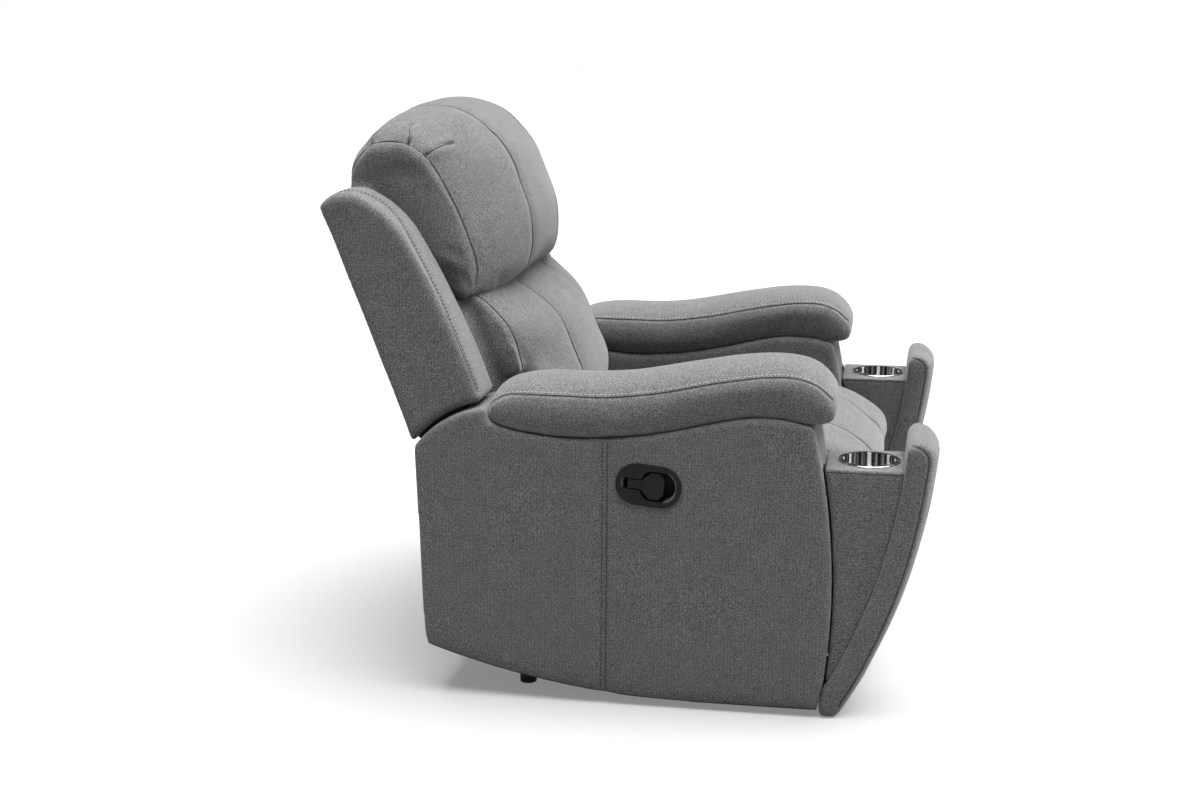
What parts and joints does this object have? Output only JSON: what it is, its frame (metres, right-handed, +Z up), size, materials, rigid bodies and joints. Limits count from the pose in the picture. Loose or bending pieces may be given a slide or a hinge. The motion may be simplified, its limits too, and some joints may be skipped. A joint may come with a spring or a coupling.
{
  "type": "recliner chair",
  "caption": "Upholstered manual recliner with padded arms, cup pods and curved front shields, a side paddle handle, a reclining back and a scissor footrest",
  "frame": {"origin": "middle of the footprint on the floor", "axes": "+Z up, the chair faces -Y, the sitter's right hand is at -X"},
  "size_m": [0.9266, 1.0448, 1.0158],
  "materials": {
    "upholstery_fabric": "grey heather weave",
    "frame_wood": "raw plywood and pine",
    "polished_steel": "polished stainless",
    "black_steel": "black powder coat",
    "zinc_steel": "zinc plated",
    "black_plastic": "fine texture",
    "white_nylon": "plain"
  },
  "bodies": {
    "base": {"right_arm_outer_panel": "upholstery_fabric", "left_arm_outer_panel": "upholstery_fabric", "right_arm_inner_panel": "upholstery_fabric", "left_arm_inner_panel": "upholstery_fabric", "right_arm_front_panel": "upholstery_fabric", "left_arm_front_panel": "upholstery_fabric", "right_arm_rear_panel": "upholstery_fabric", "left_arm_rear_panel": "upholstery_fabric", "right_arm_pad": "upholstery_fabric", "left_arm_pad": "upholstery_fabric", "right_cup_pod": "upholstery_fabric", "left_cup_pod": "upholstery_fabric", "right_front_shield": "upholstery_fabric", "left_front_shield": "upholstery_fabric", "right_arm_frame": "frame_wood", "left_arm_frame": "frame_wood", "right_cup": "polished_steel", "left_cup": "polished_steel", "right_slide_track": "black_steel", "left_slide_track": "black_steel", "rear_valance": "upholstery_fabric", "front_stretcher": "frame_wood", "rear_stretcher": "frame_wood", "feet": "black_plastic", "pod_clips": "black_plastic", "handle_bezel": "black_plastic", "release_cable": "black_plastic", "recline_bolts": "zinc_steel", "handle_pin": "zinc_steel"},
    "back": {"back_frame": "frame_wood", "right_wing": "upholstery_fabric", "left_wing": "upholstery_fabric", "outside_back": "upholstery_fabric", "head_cushion": "upholstery_fabric", "lumbar_cushion": "upholstery_fabric", "right_back_bracket": "black_steel", "left_back_bracket": "black_steel"},
    "recline_links": {"recline_links": "black_steel"},
    "seat": {"right_seat_plate": "black_steel", "left_seat_plate": "black_steel", "seat_front_rail": "frame_wood", "seat_rear_rail": "frame_wood", "seat_springs": "zinc_steel", "seat_cushion": "upholstery_fabric", "seat_glides": "white_nylon"},
    "drive_links": {"right_drive_link": "black_steel", "left_drive_link": "black_steel", "drive_shaft": "black_steel"},
    "cross_links": {"right_cross_link": "black_steel", "left_cross_link": "black_steel"},
    "front_links": {"right_front_link": "black_steel", "left_front_link": "black_steel"},
    "footrest_links": {"right_footrest_link": "black_steel", "left_footrest_link": "black_steel"},
    "footrest": {"footrest_board": "frame_wood", "footrest_pad": "upholstery_fabric", "footrest_brackets": "black_steel"},
    "control_links": {"control_links": "black_steel"},
    "handle": {"handle_lever": "black_plastic"}
  },
  "joints": [
    {"name": "recline", "type": "hinge", "parent": "base", "child": "back", "pos_m": [0, 0.21, 0.324], "axis": [-1, 0, 0], "range_deg": [0, 38]},
    {"name": "seat_slide", "type": "slide", "parent": "base", "child": "seat", "axis": [0, -1, 0], "range_m": [0, 0.05085]},
    {"name": "recline_link_turn", "type": "hinge", "parent": "back", "child": "recline_links", "pos_m": [0, 0.21, 0.239], "axis": [1, 0, 0], "range_deg": [0, 47.44]},
    {"name": "footrest_drive", "type": "hinge", "parent": "seat", "child": "drive_links", "pos_m": [0, -0.236, 0.236], "axis": [-1, 0, 0], "range_deg": [0, 56]},
    {"name": "cross_turn", "type": "hinge", "parent": "drive_links", "child": "cross_links", "pos_m": [0, -0.29059, 0.14514], "axis": [1, 0, 0], "range_deg": [0, 112.01]},
    {"name": "front_turn", "type": "hinge", "parent": "cross_links", "child": "front_links", "pos_m": [0, -0.29244, 0.25112], "axis": [-1, 0, 0], "range_deg": [0, 112.01]},
    {"name": "footrest_link_turn", "type": "hinge", "parent": "drive_links", "child": "footrest_links", "pos_m": [0, -0.34519, 0.05428], "axis": [1, 0, 0], "range_deg": [0, 112.01]},
    {"name": "board_turn", "type": "hinge", "parent": "footrest_links", "child": "footrest", "pos_m": [0, -0.34889, 0.26625], "axis": [-1, 0, 0], "range_deg": [0, 140.01]},
    {"name": "control_turn", "type": "hinge", "parent": "footrest", "child": "control_links", "pos_m": [0, -0.3573, 0.23356], "axis": [1, 0, 0], "range_deg": [0, 141.55]},
    {"name": "handle_pull", "type": "hinge", "parent": "base", "child": "handle", "pos_m": [-0.4545, -0.01168, 0.40245], "axis": [0, 0.1045, -0.9945], "range_deg": [0, 30], "stiffness_Nm_per_rad": 1.2}
  ],
  "couplings": [
    {"joint": "seat_slide", "follows": "recline", "m_per_rad": 0.076664},
    {"joint": "recline_link_turn", "follows": "recline", "ratio": 1.2481},
    {"joint": "cross_turn", "follows": "footrest_drive", "ratio": 2},
    {"joint": "front_turn", "follows": "footrest_drive", "ratio": 2},
    {"joint": "footrest_link_turn", "follows": "footrest_drive", "ratio": 2},
    {"joint": "board_turn", "follows": "footrest_drive", "ratio": 2.5},
    {"joint": "control_turn", "follows": "footrest_drive", "ratio": 2.5276}
  ]
}
